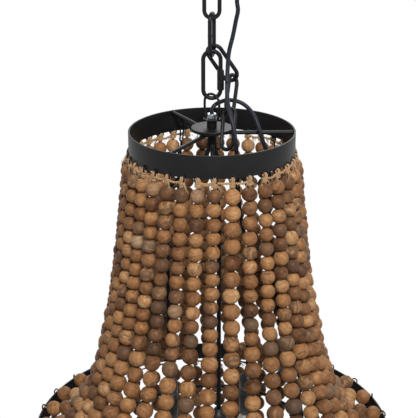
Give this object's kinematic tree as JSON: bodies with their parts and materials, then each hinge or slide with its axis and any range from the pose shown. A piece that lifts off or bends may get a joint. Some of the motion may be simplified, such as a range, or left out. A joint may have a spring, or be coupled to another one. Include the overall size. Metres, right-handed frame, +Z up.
{
  "type": "beaded chandelier",
  "caption": "Empire-style chandelier of wooden beads on a chain: a narrow black top band, a flared neck of bead strings, a wide lower band, a bead basket below it and candle lamps inside",
  "frame": {"origin": "middle of the face that lies against the ceiling", "axes": "+Z up, away from the shade; +X to the viewer's right in the picture; the viewer is on the -Y side"},
  "size_m": [0.4632, 0.4632, 0.8226],
  "materials": {
    "black_metal": "satin black powder coat",
    "zinc": "zinc plated",
    "lead": "smooth black sheath",
    "black_plastic": "moulded, slight gloss",
    "bulb_glass": "frosted",
    "bulb_cap": "plain",
    "wood_beads": "turned, oiled, mixed browns",
    "twine": "natural jute"
  },
  "bodies": {
    "ceiling_mount": {"ceiling_bracket": "zinc", "ceiling_canopy": "black_metal", "canopy_screw_1": "black_metal", "canopy_screw_2": "black_metal", "canopy_eye": "black_metal", "canopy_cord_grip": "black_plastic", "power_cord": "lead"},
    "upper_link": {"chain_link_1": "black_metal"},
    "lower_link": {"chain_link_2": "black_metal"},
    "quick_link": {"quick_link_body": "black_metal"},
    "link_sleeve": {"quick_link_sleeve": "black_metal"},
    "spare_1": {"spare_link_1": "black_metal"},
    "spare_2": {"spare_link_2": "black_metal"},
    "spare_3": {"spare_link_3": "black_metal"},
    "shade": {"hanging_loop": "black_metal", "hub_stem": "black_metal", "hub_disc": "black_metal", "upper_band": "black_metal", "upper_spoke_1": "black_metal", "upper_spoke_2": "black_metal", "upper_spoke_3": "black_metal", "stay_1": "black_metal", "stay_2": "black_metal", "stay_3": "black_metal", "lower_band": "black_metal", "lamp_ring": "black_metal", "ring_arm_1": "black_metal", "ring_arm_2": "black_metal", "ring_arm_3": "black_metal", "bottom_ring": "black_metal", "lamp_stem_1": "black_metal", "lamp_stem_2": "black_metal", "lamp_stem_3": "black_metal", "cord_nut": "zinc", "lamp_holder_1": "black_plastic", "lamp_holder_2": "black_plastic", "lamp_holder_3": "black_plastic", "upper_strands_1": "wood_beads", "upper_strands_2": "wood_beads", "upper_strands_3": "wood_beads", "upper_strands_4": "wood_beads", "upper_strands_5": "wood_beads", "upper_strands_6": "wood_beads", "upper_strands_7": "wood_beads", "upper_strands_8": "wood_beads", "lower_strands_1": "wood_beads", "lower_strands_2": "wood_beads", "lower_strands_3": "wood_beads", "lower_strands_4": "wood_beads", "lower_strands_5": "wood_beads", "lower_strands_6": "wood_beads", "lower_strands_7": "wood_beads", "lower_strands_8": "wood_beads", "lower_strands_9": "wood_beads", "lower_strands_10": "wood_beads", "lower_strands_11": "wood_beads"},
    "bulb_1": {"lamp_bulb_1": "bulb_glass"},
    "bulb_2": {"lamp_bulb_2": "bulb_glass"},
    "bulb_3": {"lamp_bulb_3": "bulb_glass"}
  },
  "joints": [
    {"name": "upper_link_swing", "type": "hinge", "parent": "ceiling_mount", "child": "upper_link", "pos_m": [0, 0, -0.0545], "axis": [0, 1, 0], "range_deg": [-30, 30], "deforming": ["power_cord"]},
    {"name": "lower_link_swing", "type": "hinge", "parent": "upper_link", "child": "lower_link", "pos_m": [0, 0, -0.0985], "axis": [1, 0, 0], "range_deg": [-30, 30], "deforming": ["power_cord"]},
    {"name": "quick_link_swing", "type": "hinge", "parent": "lower_link", "child": "quick_link", "pos_m": [0, 0, -0.1426], "axis": [0.2756, 0.9613, 0], "range_deg": [-20, 15], "deforming": ["power_cord"]},
    {"name": "shade_swing", "type": "hinge", "parent": "quick_link", "child": "shade", "pos_m": [0, 0, -0.1942], "axis": [1, 0, 0], "range_deg": [-3, 5], "deforming": ["power_cord"]},
    {"name": "sleeve_screw", "type": "slide", "parent": "quick_link", "child": "link_sleeve", "axis": [0, 0, 1], "range_m": [0, 0.011]},
    {"name": "spare_1_swing", "type": "hinge", "parent": "quick_link", "child": "spare_1", "pos_m": [0, 0.0037, -0.1426], "axis": [0, -1, 0], "range_deg": [0, 25]},
    {"name": "spare_2_swing", "type": "hinge", "parent": "spare_1", "child": "spare_2", "pos_m": [0.0258, 0.0071, -0.1738], "axis": [-0.8108, 0.2707, -0.5189], "range_deg": [0, 25]},
    {"name": "spare_3_swing", "type": "hinge", "parent": "spare_2", "child": "spare_3", "pos_m": [0.02, -0.0207, -0.2069], "axis": [-0.5044, -0.6147, 0.6064], "range_deg": [0, 25]},
    {"name": "bulb_1_unscrew", "type": "slide", "parent": "shade", "child": "bulb_1", "axis": [0, 0, -1], "range_m": [0, 0.025]},
    {"name": "bulb_2_unscrew", "type": "slide", "parent": "shade", "child": "bulb_2", "axis": [0, 0, -1], "range_m": [0, 0.025]},
    {"name": "bulb_3_unscrew", "type": "slide", "parent": "shade", "child": "bulb_3", "axis": [0, 0, -1], "range_m": [0, 0.025]}
  ]
}
